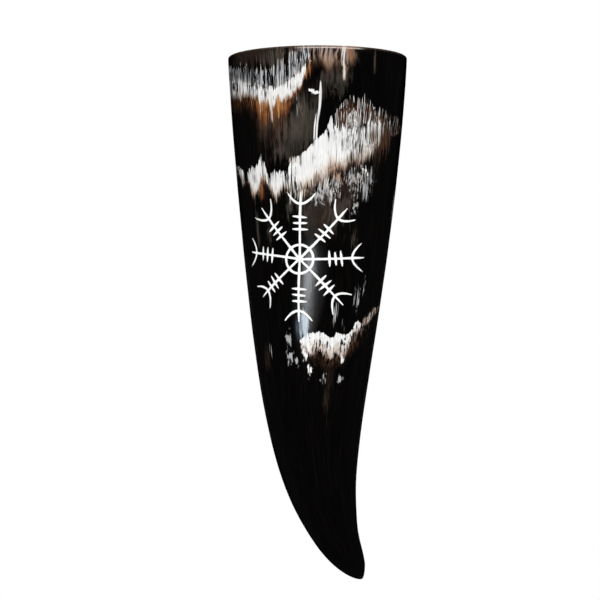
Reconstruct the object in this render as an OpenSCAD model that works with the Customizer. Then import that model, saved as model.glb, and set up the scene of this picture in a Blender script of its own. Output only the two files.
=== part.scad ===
// Drinking horn: a hollowed natural horn with a sealed inside and a filled engraving.
// Lengths are in millimetres and angles in degrees. +Z points out of the mouth, the engraved
// front faces -Y, and the tip bends towards +X. The origin lies on the horn's centreline, where
// the ring of a stand holds the taper.

/* [Horn] */
// Outer width of the mouth, seen from the front
mouth_w = 76; // [60:0.5:100]
// Outer depth of the mouth, from front to back
mouth_d = 72; // [56:0.5:100]
// Outer width halfway along the horn
mid_w = 53.4; // [46:0.1:58]
// Length along the centreline, from the rim to the tip
horn_len = 227.5; // [200:0.5:320]
// Shape of the taper's end: 0.5 closes in a dome, 0.8 in a point
tip_shape = 0.65; // [0.5:0.01:0.8]
// Angle by which the tip bends to the side
tip_bend = 46.5; // [0:0.5:70]
// How late the bend comes: the higher, the longer the horn stays straight
bend_onset = 5.9; // [3:0.1:9]
// Angle by which the straight part leans against the bend
side_lean = 3.2; // [0:0.1:6]
// Angle by which the tip leans back
back_lean = 5; // [0:0.5:20]

/* [Hollow] */
// Wall at the rim
rim_wall = 3.2; // [2.4:0.1:5]
// Wall at the foot of the hollow
foot_wall = 9; // [6:0.5:11]
// Depth of the hollow along the centreline
hollow_depth = 152; // [120:1:160]
// Height of the rounded foot of the hollow
foot_round = 24; // [14:1:40]
// Chamfer on both edges of the rim
lip_chamfer = 0.8; // [0.4:0.1:1]

/* [Sealing coat] */
// Thickness of the coat on the wall
coat_t = 0.6; // [0.3:0.1:1.5]
// Depth of the pool that the coat leaves in the foot
pool_depth = 4; // [1:0.5:10]

/* [Engraving] */
// Distance along the centreline from the rim to the middle of the sign
sign_drop = 86; // [60:1:110]
// Turn of the sign around the horn, from the front towards +X
sign_turn = -13; // [-180:0.5:180]
// Number of staves round the hub
stave_count = 8; // [4:2:8]
// Length of a stave, from the hub to its point
stave_len = 27.4; // [25:0.5:32]
// Width of an engraved line
line_w = 1.2; // [0.8:0.1:1.6]
// Width of a line at its point
point_w = 0.6; // [0.4:0.1:0.8]
// Radius of the hub's ring, at the middle of its line
ring_r = 5.5; // [4.5:0.1:7]
// Number of bars across each stave
bar_count = 3; // [1:1:3]
// Distance from the hub to a stave's first bar
first_bar = 12; // [10:0.1:14]
// Distance from one bar to the next
bar_pitch = 2.6; // [2.2:0.1:3]
// Length of a bar
bar_len = 5.7; // [3:0.1:7]
// Distance from the hub to the foot of a stave's fork
fork_foot = 21.8; // [21:0.1:24]
// Radius of the fork's arc
fork_r = 5.9; // [4:0.1:7]
// Angle of the fork's arc on each side of its stave
fork_arc = 78; // [40:1:90]
// Depth of the engraved lines
groove_depth = 0.7; // [0.4:0.1:1.2]
// Depth at which the white fill stands below the horn's surface
fill_recess = 0.1; // [0:0.05:0.2]

/* [Stand] */
// Distance along the centreline from the rim to the ring of a stand
seat_drop = 72; // [50:1:110]

/* [Hidden] */

// Smoothness of the horn: sides of a section, and sections along the outside and the hollow
sides = 40;
outer_steps = 28;
hollow_steps = 10;
foot_steps = 5;
// Steps of the centreline's sum, and smoothness of the engraved lines
line_steps = 160;
ring_steps = 20;
spoke_steps = 4;
fork_steps = 3;
// How far the engraving's cutter stands out of the horn
cutter_reach = 0.8;

// The taper follows (1 - u^p)^tip_shape, where p gives the stated width halfway along.
taper_power = ln(1 - pow(mid_w / mouth_w, 1 / tip_shape)) / ln(0.5);
depth_ratio = mouth_d / mouth_w;

horn_colour = "#17110e";
coat_colour = "#b98d4f";
fill_colour = "#f1ede2";

// Shape of the horn along its centreline: u runs from 0 at the rim to 1 at the tip.
function half_width(u) = mouth_w / 2 * pow(max(0, 1 - pow(u, taper_power)), tip_shape);
function side_angle(u) = tip_bend * pow(u, bend_onset) - side_lean * u;
function back_angle(u) = back_lean * u * u;
function heading(u) =
    let (a = side_angle(u), b = back_angle(u))
    [sin(a) * cos(b), sin(b), -cos(a) * cos(b)];
function across(u) = [cos(side_angle(u)), 0, sin(side_angle(u))];
function rearward(u) = cross(across(u), heading(u));

// The centreline is the running sum of short steps along the heading, set so that it passes
// through the origin at the stand's ring.
step_len = horn_len / line_steps;
line_points = [
    for (i = 0, p = [0, 0, 0];
         i <= line_steps;
         p = p + step_len * heading((i + 0.5) / line_steps), i = i + 1) p
];
function along(axis) = [for (i = [0:line_steps]) [i / line_steps, line_points[i][axis]]];
line_x = along(0);
line_y = along(1);
line_z = along(2);
function line_at(u) = [lookup(u, line_x), lookup(u, line_y), lookup(u, line_z)];
seat_point = line_at(seat_drop / horn_len);
function centre(u) = line_at(u) - seat_point;

// A point of the section at u, on an oval of the given half width. The turn starts at the front.
function section_point(u, w, turn) =
    centre(u) + w * sin(turn) * across(u) - w * depth_ratio * cos(turn) * rearward(u);
function section(u, w) = [for (i = [0:sides - 1]) section_point(u, w, 360 * i / sides)];

// The hollow: depths are measured along the centreline, from the rim.
function wall(s) = rim_wall + (foot_wall - rim_wall) * s / hollow_depth;
function foot_factor(s, depth) =
    let (t = max(0, (s - depth + foot_round) / foot_round)) sqrt(max(0, 1 - t * t));
function hollow_half_width(s, inset, depth) =
    (half_width(s / horn_len) - wall(s) - inset) * foot_factor(s, depth);
function hollow_depths(depth) = concat(
    [for (i = [0:hollow_steps]) lip_chamfer + (depth - foot_round - lip_chamfer) * i / hollow_steps],
    [for (i = [1:foot_steps - 1]) depth - foot_round + foot_round * sin(90 * i / foot_steps)]
);
function hollow_rings(inset, depth) = [
    for (s = hollow_depths(depth)) section(s / horn_len, hollow_half_width(s, inset, depth))
];

// The outside, from just above the tip up to the rim, moved in by the inset.
function outer_rings(inset) = [
    for (i = [1:outer_steps])
        let (u = 1 - pow(i / outer_steps, 1.5) * (1 - lip_chamfer / horn_len))
        section(u, half_width(u) - inset)
];
function reversed(list) = [for (i = [len(list) - 1:-1:0]) list[i]];

// A closed skin over a chain of rings, from a first pole to a last one.
module ring_skin(first_pole, rings, last_pole) {
    count = len(rings);
    last = count * sides + 1;
    points = concat([first_pole], [for (r = rings) each r], [last_pole]);
    first_fan = [for (i = [0:sides - 1]) [0, 1 + i, 1 + (i + 1) % sides]];
    bands = [
        for (k = [0:count - 2], i = [0:sides - 1])
            let (a = 1 + k * sides, j = (i + 1) % sides)
            each [[a + i, a + sides + j, a + j], [a + i, a + sides + i, a + sides + j]]
    ];
    last_fan = [
        for (i = [0:sides - 1])
            let (a = 1 + (count - 1) * sides) [last, a + (i + 1) % sides, a + i]
    ];
    polyhedron(points = points, faces = concat(first_fan, bands, last_fan));
}

// The horn before it is engraved: up the outside, over the rim and down the hollow.
module hollow_horn() {
    rim_rings = [
        section(0, half_width(0) - lip_chamfer),
        section(0, half_width(0) - rim_wall + lip_chamfer)
    ];
    ring_skin(
        centre(1),
        concat(outer_rings(0), rim_rings, hollow_rings(0, hollow_depth)),
        centre(hollow_depth / horn_len)
    );
}

// The horn's outline without its hollow, moved in by the inset.
module solid_horn(inset) {
    ring_skin(centre(1), outer_rings(inset), centre(lip_chamfer / horn_len));
}

// A place on the outside: x runs round the horn and y up it, from the middle of the sign.
function sign_u(p) = (sign_drop - p[1]) / horn_len;
function sign_angle(p) =
    let (w = half_width(sign_u(p)))
    sign_turn + p[0] / (w * (1 + depth_ratio) / 2) * 180 / PI;

// The same place as a point, lifted off the outside along the square to it.
function lifted(p, lift) =
    let (
        u = sign_u(p),
        turn = sign_angle(p),
        outward = sin(turn) * depth_ratio * across(u) - cos(turn) * rearward(u)
    )
    section_point(u, half_width(u), turn) + lift * outward / norm(outward);

// The cutter's corners at one place of a line, which is so wide there and runs so.
function cutter_section(p, width, run) =
    let (side = width / 2 * [run[1], -run[0]])
    [
        lifted(p - side, -groove_depth),
        lifted(p + side, -groove_depth),
        lifted(p + side, cutter_reach),
        lifted(p - side, cutter_reach)
    ];
function run_at(places, i) =
    let (run = places[min(i + 1, len(places) - 1)] - places[max(i - 1, 0)]) run / norm(run);

// A line through places on the outside, whose width is given at each of them.
module stroke(places, widths) {
    last = len(places) - 1;
    points = [for (i = [0:last]) each cutter_section(places[i], widths[i], run_at(places, i))];
    walls = [
        for (i = [0:last - 1], k = [0:3])
            let (a = 4 * i + k, b = 4 * i + (k + 1) % 4) each [[a, b, b + 4], [a, b + 4, a + 4]]
    ];
    end = 4 * last;
    caps = [[0, 2, 1], [0, 3, 2], [end, end + 1, end + 2], [end, end + 2, end + 3]];
    polyhedron(points = points, faces = concat(walls, caps));
}

// A place on a stave: so far out from the hub, and so far to the stave's side.
function on_stave(angle, out, aside) =
    [out * sin(angle) + aside * cos(angle), out * cos(angle) - aside * sin(angle)];

// The line of two opposite staves, from point to point through the hub.
module spoke_pair(angle) {
    reach = [for (i = [-spoke_steps:spoke_steps]) stave_len * i / spoke_steps];
    stroke(
        [for (out = reach) on_stave(angle, out, 0)],
        [for (out = reach) abs(out) < stave_len ? line_w : point_w]
    );
}

// A short bar across a stave, widest in the middle.
module bar(angle, out) {
    hull() {
        stroke([for (a = [-1, 0]) on_stave(angle, out, a * bar_len / 2)], [point_w, line_w]);
        stroke([for (a = [0, 1]) on_stave(angle, out, a * bar_len / 2)], [line_w, point_w]);
    }
}

// The fork at a stave's end: an arc that opens outwards.
module fork(angle) {
    arc = [for (i = [-fork_steps:fork_steps]) fork_arc * i / fork_steps];
    stroke(
        [for (a = arc) on_stave(angle, fork_foot + fork_r * (1 - cos(a)), fork_r * sin(a))],
        [for (a = arc) abs(a) < fork_arc ? line_w : point_w]
    );
}

module hub_ring() {
    ring = [for (i = [0:ring_steps]) on_stave(360 * i / ring_steps, ring_r, 0)];
    stroke(ring, [for (p = ring) line_w]);
}

// Every line of the sign, as the solid that the engraver takes out of the horn.
module engraving() {
    hub_ring();
    for (i = [0:stave_count / 2 - 1])
        spoke_pair(360 * i / stave_count);
    for (i = [0:stave_count - 1]) {
        fork(360 * i / stave_count);
        for (k = [0:bar_count - 1])
            bar(360 * i / stave_count, first_bar + k * bar_pitch);
    }
}

// The horn itself: one natural piece, hollow from the mouth and solid towards the tip.
module horn_shell() {
    color(horn_colour)
        difference() {
            hollow_horn();
            engraving();
        }
}

// The coat that seals the inside, with the pool that it leaves in the foot of the hollow.
module sealing_coat() {
    outside = hollow_rings(0, hollow_depth);
    inside = hollow_rings(coat_t, hollow_depth - pool_depth);
    color(coat_colour)
        ring_skin(
            centre(hollow_depth / horn_len),
            concat(reversed(outside), inside),
            centre((hollow_depth - pool_depth) / horn_len)
        );
}

// The white fill that is rubbed into the engraved lines.
module engraving_fill() {
    color(fill_colour)
        intersection() {
            solid_horn(fill_recess);
            engraving();
        }
}

horn_shell();
sealing_coat();
engraving_fill();
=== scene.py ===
import math
from collections import Counter

import bpy
import numpy as np
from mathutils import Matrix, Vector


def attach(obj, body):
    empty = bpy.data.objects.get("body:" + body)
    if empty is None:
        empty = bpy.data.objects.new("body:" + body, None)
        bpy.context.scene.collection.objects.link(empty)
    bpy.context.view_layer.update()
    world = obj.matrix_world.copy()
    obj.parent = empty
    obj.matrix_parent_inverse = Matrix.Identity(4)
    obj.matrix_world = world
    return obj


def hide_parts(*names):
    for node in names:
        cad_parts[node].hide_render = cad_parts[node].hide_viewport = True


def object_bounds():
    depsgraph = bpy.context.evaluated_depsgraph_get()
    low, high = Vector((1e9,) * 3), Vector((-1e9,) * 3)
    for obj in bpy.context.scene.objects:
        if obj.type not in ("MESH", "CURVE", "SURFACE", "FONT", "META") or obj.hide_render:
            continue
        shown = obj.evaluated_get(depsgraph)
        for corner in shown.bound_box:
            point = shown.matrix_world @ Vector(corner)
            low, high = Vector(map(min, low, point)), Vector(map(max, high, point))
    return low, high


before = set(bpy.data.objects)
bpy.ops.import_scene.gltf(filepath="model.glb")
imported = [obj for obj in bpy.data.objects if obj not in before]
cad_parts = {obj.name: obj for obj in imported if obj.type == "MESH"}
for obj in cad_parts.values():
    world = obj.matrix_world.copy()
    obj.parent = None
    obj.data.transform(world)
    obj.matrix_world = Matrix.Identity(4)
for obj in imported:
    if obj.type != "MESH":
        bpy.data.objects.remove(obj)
cadBox = [list(corner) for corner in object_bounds()]
print("frame loaded, CAD box", cadBox)

mm = 0.001
horn = {  # metres and degrees, the same sizes as the solids
    "mouthWidth": 0.076, "mouthDepth": 0.072, "midWidth": 0.0534, "length": 0.2275, "tipShape": 0.65,
    "tipBend": 46.5, "bendOnset": 5.9, "sideLean": 3.2, "backLean": 5.0, "seatDrop": 0.072,
    "rimWall": 0.0032, "footWall": 0.009, "hollowDepth": 0.152, "footRound": 0.024, "lip": 0.0008,
    "tipDraw": 0.0014, "tipDrawPower": 12,  # keeps the smooth tip inside the faceted one
    "tipShift": (0.0004, 0.873, 0.05), "tipFull": (0.0017, 0.974, 0.056),  # wear: how much, where, how far
    "tipFade": 0.02,  # nothing is left of that at the very end
    "wave": 0.00006,  # how far the polished surface dips between its soft waves
    "waveFade": (0.01, 0.02),  # where they start from the rim and from the tip
    "rimClear": 0.000002,  # keeps the rim inside the faceted one
    "rows": {"rim": 22, "tip": 58, "lip": 5, "hollow": 10, "foot": 7}, "tipCrowd": 1.6,  # of the mesh
    "columns": 72,  # of the mesh beside the star
}
depthRatio = horn["mouthDepth"] / horn["mouthWidth"]
taperPower = math.log(1 - (horn["midWidth"] / horn["mouthWidth"]) ** (1 / horn["tipShape"])) / math.log(0.5)


def hornAngles(u):
    side = np.radians(horn["tipBend"] * u ** horn["bendOnset"] - horn["sideLean"] * u)
    return side, np.radians(horn["backLean"] * u * u)


def hornHeading(u):
    side, back = hornAngles(u)
    return np.stack([np.sin(side) * np.cos(back), np.sin(back), -np.cos(side) * np.cos(back)], -1)


lineCount = 4000
lineU = np.linspace(0, 1, lineCount + 1)
lineSteps = hornHeading((lineU[1:] + lineU[:-1]) / 2) * horn["length"] / lineCount
linePoints = np.concatenate([np.zeros((1, 3)), np.cumsum(lineSteps, 0)])
linePoints -= [np.interp(horn["seatDrop"] / horn["length"], lineU, linePoints[:, k]) for k in range(3)]


def halfWidth(along):
    u = np.clip(along / horn["length"], 0, 1)
    return horn["mouthWidth"] / 2 * np.clip(1 - u ** taperPower, 0, 1) ** horn["tipShape"]


def tipWear(u, size, middle, spread):
    fade = np.sqrt(np.clip((1 - u) / horn["tipFade"], 0, 1))
    return (size * np.exp(-((u - middle) / spread) ** 2) * fade)[..., None]


def hornPlace(along, turn, half, lift=0.0):  # a point at this distance along, turned so far from the front
    u = np.clip(along / horn["length"], 0, 1)
    side, _ = hornAngles(u)
    across = np.stack([np.cos(side), 0 * side, np.sin(side)], -1)
    rear = np.cross(across, hornHeading(u))
    drawn = u - horn["tipDraw"] * u ** horn["tipDrawPower"]
    centre = np.stack([np.interp(drawn, lineU, linePoints[:, k]) for k in range(3)], -1)
    sn, cs = np.sin(turn)[..., None], np.cos(turn)[..., None]
    outward = depthRatio * sn * across - cs * rear
    outward /= np.linalg.norm(outward, axis=-1, keepdims=True)
    half = np.asarray(half)[..., None]
    full = tipWear(u, *horn["tipFull"]) * np.maximum(sn, 0) ** 2
    centre = centre + (tipWear(u, *horn["tipShift"]) + full) * across
    return centre + half * sn * across - half * depthRatio * cs * rear + np.asarray(lift)[..., None] * outward


def hollowHalf(along, depth):
    wall = horn["rimWall"] + (horn["footWall"] - horn["rimWall"]) * along / horn["hollowDepth"]
    foot = np.clip((along - depth + horn["footRound"]) / horn["footRound"], 0, 1)
    return (halfWidth(along) - wall) * np.sqrt(1 - foot * foot)


def footRows(depth, count):  # rows that close in on the rounded foot of a hollow
    return depth - horn["footRound"] * (1 - np.sin(np.linspace(0, math.pi / 2, count)[1:-1]))


def addObject(name, data):
    item = bpy.data.objects.new(name, data)
    bpy.context.scene.collection.objects.link(item)
    return item


def makePiece(name, points, faces, uvs, grain, sharp=35):
    mesh = bpy.data.meshes.new(name)
    mesh.from_pydata(points.tolist(), [], faces)
    layer = mesh.uv_layers.new(name="OFBake")
    layer.data.foreach_set("uv", np.asarray(uvs, dtype=np.float32).ravel())
    place = mesh.attributes.new("grain", "FLOAT_VECTOR", "POINT")
    place.data.foreach_set("vector", np.asarray(grain, dtype=np.float32).ravel())
    mesh.polygons.foreach_set("use_smooth", [True] * len(mesh.polygons))
    mesh.update()
    mesh.set_sharp_from_angle(angle=math.radians(sharp))
    return addObject(name, mesh)


grainHalf = 30  # the grain is drawn in millimetres on a straight horn of this half width


def grainOf(along, turn):
    return np.stack([grainHalf * np.sin(turn), -grainHalf * np.cos(turn), along / mm], -1)


star = {  # millimetres; each stave has its angle, reach, and the fork's foot and tips
    "drop": 86.0, "turn": -13.0, "ring": 5.7, "bars": (12.1, 14.6, 17.1), "barLength": 5.9,
    "line": 1.08, "barWidth": 1.15, "point": 0.5, "forkHalf": 5.8, "forkBow": 1.9,
    "pointFrom": 0.85, "pointRun": 0.15, "barTaper": 2.2, "forkTaper": 3,  # how lines run out to a point
    "depth": 0.6, "recess": 0.1, "grit": 0.03,  # of the groove and of the filler's face in it
    "floorClear": 0.02,  # below the filler
    "waver": {"ring": 0.03, "ringLine": 0.08, "stave": 0.12, "staveLine": 0.07},  # slow, and in each step:
    "shake": {"line": 0.07, "tilt": 0.35, "shift": 0.25, "size": 0.08, "fork": 0.06},
    "mesh": {"turns": (-76, 48.01, 0.55), "reach": 30, "step": 0.3, "cut": 33, "snap": 0.17},  # finer there
    "staves": [
        (1.6, 26.9, 22.4, 26.9), (43.6, 29.2, 22.9, 27.8), (87.9, 27.8, 21.9, 26.9),
        (135.7, 25.9, 20.5, 25.3), (181.4, 25.9, 21.0, 25.2), (228.4, 24.0, 19.6, 23.7),
        (276.8, 25.4, 21.2, 24.8), (320.4, 27.1, 21.3, 26.7),
    ],
}


def starStrokes():
    strokes = []  # lists of (x, y, width), x round the horn and y up it
    waver, wobble = star["waver"], np.random.default_rng(7)  # the hand's unevenness
    ringSteps, staveSteps, barSteps, forkSteps = 48, 24, 4, 10

    def shake(name):
        return wobble.uniform(-star["shake"][name], star["shake"][name])

    def onStave(angle, out, aside):
        a = math.radians(angle)
        return out * math.sin(a) + aside * math.cos(a), out * math.cos(a) - aside * math.sin(a)

    ring = []
    for k in range(ringSteps + 1):
        angle = 360 / ringSteps * k
        r = star["ring"] * (1 + waver["ring"] * math.sin(math.radians(angle * 2 + 40)))
        ring.append((*onStave(angle, r, 0), star["line"] * (1 + waver["ringLine"] * math.sin(k * 0.9))))
    strokes.append(ring)
    for angle, reach, foot, tip in star["staves"]:
        spoke = []
        for k in range(staveSteps + 1):
            t = k / staveSteps
            width = star["line"] * (0.95 + waver["staveLine"] * math.sin(9 * t + angle) + shake("line"))
            if t >= star["pointFrom"]:
                width += (star["point"] - width) * (t - star["pointFrom"]) / star["pointRun"]
            spoke.append((*onStave(angle, reach * t, waver["stave"] * math.sin(5 * t + angle)), width))
        strokes.append(spoke)
        for out in star["bars"]:
            tilt, shift, longer = shake("tilt"), shake("shift"), 1 + shake("size")
            bar = []
            for k in range(-barSteps, barSteps + 1):
                t = k / barSteps
                width = star["point"] + (star["barWidth"] - star["point"]) * (1 - abs(t) ** star["barTaper"])
                aside = shift + longer * star["barLength"] / 2 * t
                bar.append((*onStave(angle, out + tilt * t, aside), width))
            strokes.append(bar)
        uneven = shake("fork")
        fork = []
        for k in range(-forkSteps, forkSteps + 1):
            t = k / forkSteps
            side = star["forkHalf"] * (1 + uneven * np.sign(t))
            width = star["line"] + (star["point"] - star["line"]) * abs(t) ** star["forkTaper"]
            width *= 1 + shake("size")
            fork.append((*onStave(angle, foot + (tip - foot) * abs(t) ** star["forkBow"], side * t), width))
        strokes.append(fork)
    return strokes


def strokeDistance(x, y):  # signed distance to the nearest line's edge, and the way out of it
    best = np.full(x.shape, 99.0)
    wayX, wayY = np.zeros(x.shape), np.zeros(x.shape)
    for stroke in starStrokes():
        for (ax, ay, aw), (bx, by, bw) in zip(stroke[:-1], stroke[1:]):
            dx, dy = bx - ax, by - ay
            t = np.clip(((x - ax) * dx + (y - ay) * dy) / (dx * dx + dy * dy), 0, 1)
            ox, oy = x - ax - t * dx, y - ay - t * dy
            far = np.hypot(ox, oy)
            edge = far - (aw + (bw - aw) * t) / 2
            nearer = edge < best
            best = np.where(nearer, edge, best)
            far = np.maximum(far, 1e-6)
            wayX, wayY = np.where(nearer, ox / far, wayX), np.where(nearer, oy / far, wayY)
    return best, wayX, wayY


def buildHorn():
    fine, count = star["mesh"], horn["rows"]
    denseTurn = np.arange(*fine["turns"])
    wideTurn = np.linspace(denseTurn[-1], denseTurn[0] + 360, horn["columns"])[1:-1]
    turns = np.radians(np.concatenate([denseTurn, wideTurn]))
    starTop, starLow, length = star["drop"] - fine["reach"], star["drop"] + fine["reach"], horn["length"] / mm
    rimRows = np.linspace(horn["lip"] / mm, starTop, count["rim"])
    starRows = np.arange(starTop + fine["step"], starLow, fine["step"])
    tipRows = length - (length - starLow) * np.linspace(1, 0, count["tip"])[1:-1] ** horn["tipCrowd"]
    outer = np.concatenate([rimRows, starRows, tipRows])[::-1] * mm
    bend = np.linspace(0, math.pi / 2, count["lip"])[1:]
    lip, rim = horn["lip"], halfWidth(np.array(horn["lip"]))
    rimAlong = np.concatenate([lip * (1 - np.sin(bend)), np.zeros(2), lip * (1 - np.cos(bend))])
    rimAlong += horn["rimClear"]
    rimHalf = np.concatenate([
        rim - lip * (1 - np.cos(bend)), rim - np.linspace(lip, horn["rimWall"] - lip, 4)[1:3],
        rim - horn["rimWall"] + lip * (1 - np.sin(bend)),
    ])
    depth = horn["hollowDepth"]
    straight = np.linspace(lip, depth - horn["footRound"], count["hollow"])[1:]
    inner = np.concatenate([straight, footRows(depth, count["foot"])])
    rowAlong = np.concatenate([outer, rimAlong, inner])
    rowHalf = np.concatenate([halfWidth(outer), rimHalf, hollowHalf(inner, depth)])
    along, turn = np.meshgrid(rowAlong, turns, indexing="ij")
    half = np.repeat(rowHalf[:, None], len(turns), 1)
    rows, cols, outerRows = len(rowAlong), len(turns), len(outer)
    outside = (np.arange(rows) < outerRows)[:, None]
    state = np.ones((rows, cols), dtype=int)  # 1 outside the lines, 0 on an edge, -1 inside a line
    radius = halfWidth(along) * (1 + depthRatio) / 2
    x = ((turn - math.radians(star["turn"]) + math.pi) % (2 * math.pi) - math.pi) * radius / mm
    y = star["drop"] - along / mm
    near = (np.hypot(x, y) < fine["cut"]) & outside
    edge, wayX, wayY = strokeDistance(x[near], y[near])
    onEdge = np.abs(edge) < fine["snap"]
    state[near] = np.where(onEdge, 0, np.where(edge < 0, -1, 1))
    newX, newY = x.copy(), y.copy()
    newX[near] -= np.where(onEdge, edge * wayX, 0)
    newY[near] -= np.where(onEdge, edge * wayY, 0)
    along = np.where(state == 0, (star["drop"] - newY) * mm, along)
    radius = halfWidth(along) * (1 + depthRatio) / 2
    turn = np.where(state == 0, turn + (newX - x) * mm / radius, turn)
    half = np.where(state == 0, halfWidth(along), half)
    wave = 0.5 + 0.5 * np.sin(5 * turn + 90 * along) * np.sin(3 * turn - 140 * along + 1)
    fromRim, fromTip = horn["waveFade"]
    fade = np.clip(np.minimum(along / fromRim, (horn["length"] - along) / fromTip), 0, 1) * outside
    dip = -horn["wave"] * wave * fade
    points = hornPlace(along, turn, half, dip + np.where(state < 0, -star["depth"] * mm, 0))
    poles = np.array([horn["length"], depth])  # the tip and the hollow's foot
    points = np.concatenate([points.reshape(-1, 3), hornPlace(poles, np.zeros(2), np.zeros(2))])
    grain = np.concatenate([grainOf(along, turn).reshape(-1, 3), [[0, 0, pole / mm] for pole in poles]])

    outV = 0.30 + 0.695 * (1 - outer / horn["length"])
    inV = np.linspace(0.28, 0.01, rows - outerRows)  # the outside is laid out above, the rim and hollow below
    rowV = np.concatenate([outV, inV])
    colU = np.concatenate([np.degrees(turns) - denseTurn[0], [360.0]]) / 360 * 0.99 + 0.005
    faces, uvs, fillFaces, fillUvs = [], [], [], []
    flat = state.ravel()

    def put(corners, isFill):
        ids = [i * cols + j % cols for i, j in corners]
        spot = [(colU[j], rowV[i]) for i, j in corners]
        faces.append(ids)
        uvs.extend(spot)
        if isFill:
            fillFaces.append(ids)
            fillUvs.append(spot)

    for i in range(rows - 1):
        for j in range(cols):
            quad = [(i, j), (i, j + 1), (i + 1, j + 1), (i + 1, j)]
            kinds = [flat[a * cols + b % cols] for a, b in quad]
            if -1 not in kinds:
                put(quad, False)
            elif 1 not in kinds:
                put(quad, True)
            else:
                first = 0 if kinds[0] == 0 and kinds[2] == 0 else 1
                for three in ((first, first + 1, first + 2), (first + 2, (first + 3) % 4, first)):
                    found = {kinds[k] for k in three}
                    put([quad[k] for k in three], 1 not in found and -1 in found)
    tip, foot = rows * cols, rows * cols + 1
    last = (rows - 1) * cols
    for j in range(cols):
        faces.append([tip, (j + 1) % cols, j])
        uvs.extend([((colU[j] + colU[j + 1]) / 2, 0.298), (colU[j + 1], rowV[0]), (colU[j], rowV[0])])
        faces.append([foot, last + j, last + (j + 1) % cols])
        uvs.extend([((colU[j] + colU[j + 1]) / 2, 0.005), (colU[j], rowV[-1]), (colU[j + 1], rowV[-1])])
    shell = makePiece("hornShell", points, faces, uvs, grain)
    return shell, buildFill(along.ravel(), turn.ravel(), dip.ravel(), flat, fillFaces, fillUvs)


def buildFill(along, turn, dip, state, floorFaces, floorUvs):
    fillFaces, fillUvs = [], []
    for face, spot in zip(floorFaces, floorUvs):  # no cut from edge to edge, so each part keeps its depth
        cuts = [range(len(face))]
        for k in range(len(face) - 2 if len(face) == 4 else 0):
            if state[face[k]] == 0 and state[face[k + 2]] == 0:
                first = 1 - k
                cuts = [(first, first + 1, first + 2), (first + 2, (first + 3) % 4, first)]
        for cut in cuts:
            fillFaces.append([face[k] for k in cut])
            fillUvs.append([spot[k] for k in cut])
    used = sorted({i for face in fillFaces for i in face})
    top = {v: k for k, v in enumerate(used)}
    inside = [v for v in used if state[v] < 0]
    low = {v: len(used) + k for k, v in enumerate(inside)}
    order = np.array(used + inside)
    grit = np.random.default_rng(3).uniform(-star["grit"], star["grit"], len(used))
    bottom = np.full(len(inside), star["floorClear"] - star["depth"])
    level = np.concatenate([-star["recess"] + grit, bottom]) * mm
    points = hornPlace(along[order], turn[order], halfWidth(along[order]), dip[order] + level)
    sides = Counter(tuple(sorted(pair)) for face in fillFaces for pair in zip(face, face[1:] + face[:1]))
    narrow = [pair for pair, count in sides.items() if count == 2 and not any(state[v] for v in pair)]
    keel = {pair: len(order) + k for k, pair in enumerate(narrow)}  # a narrow line stays deep
    middles = np.array([[a, b] for a, b in narrow], dtype=int).reshape(-1, 2)
    keelAlong, keelTurn, keelDip = [values[middles].mean(1) for values in (along, turn, dip)]
    keelDip = keelDip - star["depth"] / 2 * mm
    points = np.concatenate([points, hornPlace(keelAlong, keelTurn, halfWidth(keelAlong), keelDip)])
    faces = [[top[v] for v in face] for face in fillFaces]
    bottomFaces, bottomUvs = [], []
    for face, spot in zip(fillFaces, fillUvs):
        ring, ringUvs = [], []
        for k in range(len(face)):
            a, b = face[k], face[(k + 1) % len(face)]
            ring.append(low.get(a, top[a]))
            ringUvs.append(spot[k])
            if tuple(sorted((a, b))) in keel:
                ring.append(keel[tuple(sorted((a, b)))])
                ringUvs.append(tuple(np.mean([spot[k], spot[(k + 1) % len(face)]], 0)))
        start = next((k for k, v in enumerate(ring) if v >= len(order)), None)
        if start is None:
            bottomFaces.append(ring[::-1])
            bottomUvs.append(ringUvs[::-1])
            continue
        ring, ringUvs = ring[start:] + ring[:start], ringUvs[start:] + ringUvs[:start]
        for k in range(1, len(ring) - 1):  # a fan round the keel
            bottomFaces.append([ring[0], ring[k + 1], ring[k]])
            bottomUvs.append([ringUvs[0], ringUvs[k + 1], ringUvs[k]])
    faces += bottomFaces
    spots = np.concatenate([np.array(s) for s in fillUvs])
    low0, high0 = spots.min(0), spots.max(0)

    def spread(layout, left, below, width, height):
        placed = [(np.array(spot) - low0) / (high0 - low0) for spot in layout]
        return [(left + width * u, below + height * v) for spot in placed for u, v in spot]

    uvs = spread(fillUvs, 0.01, 0.25, 0.98, 0.74) + spread(bottomUvs, 0.01, 0.01, 0.23, 0.22)
    grain = np.concatenate([grainOf(along[order], turn[order]), grainOf(keelAlong, keelTurn)])
    return makePiece("starFill", points, faces, uvs, grain, sharp=60)


coat = {  # metres
    "thickness": 0.0006, "pool": 0.004, "feather": 0.006, "edgeShare": 0.15,  # thinner at its upper edge
    "ripple": 0.000108, "rippleFade": 0.02, "step": 3.0, "rowCrowd": 1.2,
    "rows": (12, 9, 60, 16),  # of the mesh: on the wall and its foot, on the free side and its foot
}


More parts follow.
